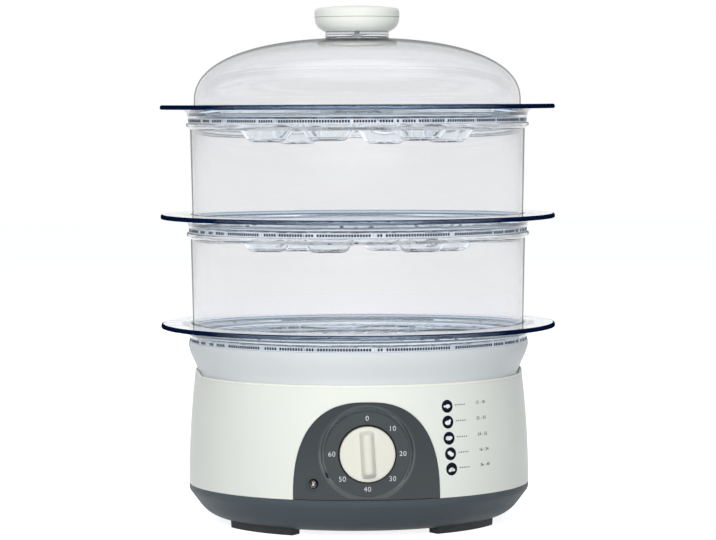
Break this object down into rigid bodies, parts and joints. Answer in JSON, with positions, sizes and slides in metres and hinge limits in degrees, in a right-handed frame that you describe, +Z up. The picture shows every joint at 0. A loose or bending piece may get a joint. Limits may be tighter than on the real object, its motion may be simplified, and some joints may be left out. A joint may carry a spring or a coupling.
{
  "type": "electric food steamer",
  "caption": "Round electric food steamer: powered base with a dial timer, drip tray, clear stacking bowls and egg-cup trays, and a domed lid with a knob.",
  "frame": {"origin": "centre of the footprint, on the surface that the feet stand on", "axes": "+Z up through the stack, -Y towards the control panel, +X to the right seen from the front"},
  "size_m": [0.3, 0.3, 0.3917],
  "materials": {
    "white_plastic": "moulded, satin",
    "dark_plastic": "moulded, fine texture",
    "clear_plastic": "clear, polished, faint blue edge",
    "frosted_plastic": "translucent, frosted",
    "black_rubber": "moulded, matt",
    "silicone": "moulded, matt",
    "steel": "rolled, bright",
    "plated_screws": "zinc plated",
    "brass_parts": "stamped",
    "heater_sheath": "oxidised sheath",
    "black_plastic": "moulded",
    "clear_lens": "clear, polished",
    "amber_glass": "small glass bulb",
    "brown_lead": "extruded insulation",
    "blue_lead": "extruded insulation"
  },
  "bodies": {
    "base": {"base_housing": "white_plastic", "water_tank": "white_plastic", "bottom_cover": "dark_plastic", "cover_screws": "plated_screws", "foot_front_left": "black_rubber", "foot_front_right": "black_rubber", "foot_rear_left": "black_rubber", "foot_rear_right": "black_rubber", "cord_gland": "black_rubber", "cord_clamp": "black_plastic", "cord_clamp_screws": "plated_screws", "terminal_block": "white_plastic", "terminal_block_screw": "plated_screws", "heating_plate": "steel", "heater_gasket": "silicone", "heater_clamp": "steel", "heater_screws": "plated_screws", "heating_element": "heater_sheath", "thermostat": "black_plastic", "thermostat_strap": "steel", "thermal_fuse": "plated_screws", "control_panel": "dark_plastic", "indicator_lens": "clear_lens", "lamp_holder": "black_plastic", "neon_lamp": "amber_glass", "timer_bracket": "steel", "bracket_screws": "plated_screws", "timer_case": "steel", "timer_screws": "plated_screws", "spring_barrel": "steel", "contact_blades": "brass_parts", "contact_block": "black_plastic", "timer_bell": "steel", "lead_live": "brown_lead", "lead_switched": "brown_lead", "lead_heater": "brown_lead", "lead_neutral": "blue_lead", "lead_lamp": "blue_lead"},
    "timer_rotor": {"timer_shaft": "steel", "timer_main_wheel": "brass_parts", "timer_cam": "black_plastic", "timer_knob": "white_plastic", "knob_clip": "steel"},
    "timer_train": {"timer_pinion": "steel", "timer_escape_wheel": "brass_parts"},
    "steam_ring": {"steam_ring": "white_plastic"},
    "drip_tray": {"drip_tray": "frosted_plastic"},
    "tray_bottom": {"tray_bottom": "clear_plastic"},
    "bowl_lower": {"bowl_lower": "clear_plastic"},
    "tray_middle": {"tray_middle": "clear_plastic"},
    "bowl_upper": {"bowl_upper": "clear_plastic"},
    "tray_top": {"tray_top": "clear_plastic"},
    "lid": {"lid_dome": "clear_plastic", "lid_knob_lower": "white_plastic", "lid_knob_cap": "white_plastic", "lid_screw": "plated_screws", "lid_washer": "silicone"}
  },
  "joints": [
    {"name": "timer_turn", "type": "hinge", "parent": "base", "child": "timer_rotor", "pos_m": [0, -0.12, 0.0639], "axis": [0, 1, 0], "range_deg": [0, 270]},
    {"name": "timer_train_turn", "type": "hinge", "parent": "base", "child": "timer_train", "pos_m": [0.01358, -0.1, 0.07748], "axis": [0, 1, 0], "range_deg": [-810, 0]},
    {"name": "steam_ring_lift", "type": "slide", "parent": "base", "child": "steam_ring", "axis": [0, 0, 1], "range_m": [0, 0.08]},
    {"name": "drip_tray_lift", "type": "slide", "parent": "steam_ring", "child": "drip_tray", "axis": [0, 0, 1], "range_m": [0, 0.06]},
    {"name": "tray_bottom_lift", "type": "slide", "parent": "drip_tray", "child": "tray_bottom", "axis": [0, 0, 1], "range_m": [0, 0.05]},
    {"name": "bowl_lower_lift", "type": "slide", "parent": "tray_bottom", "child": "bowl_lower", "axis": [0, 0, 1], "range_m": [0, 0.05]},
    {"name": "tray_middle_lift", "type": "slide", "parent": "bowl_lower", "child": "tray_middle", "axis": [0, 0, 1], "range_m": [0, 0.05]},
    {"name": "bowl_upper_lift", "type": "slide", "parent": "tray_middle", "child": "bowl_upper", "axis": [0, 0, 1], "range_m": [0, 0.05]},
    {"name": "tray_top_lift", "type": "slide", "parent": "bowl_upper", "child": "tray_top", "axis": [0, 0, 1], "range_m": [0, 0.05]},
    {"name": "lid_lift", "type": "slide", "parent": "tray_top", "child": "lid", "axis": [0, 0, 1], "range_m": [0, 0.08]}
  ],
  "couplings": [
    {"joint": "timer_train_turn", "follows": "timer_turn", "ratio": -3}
  ]
}
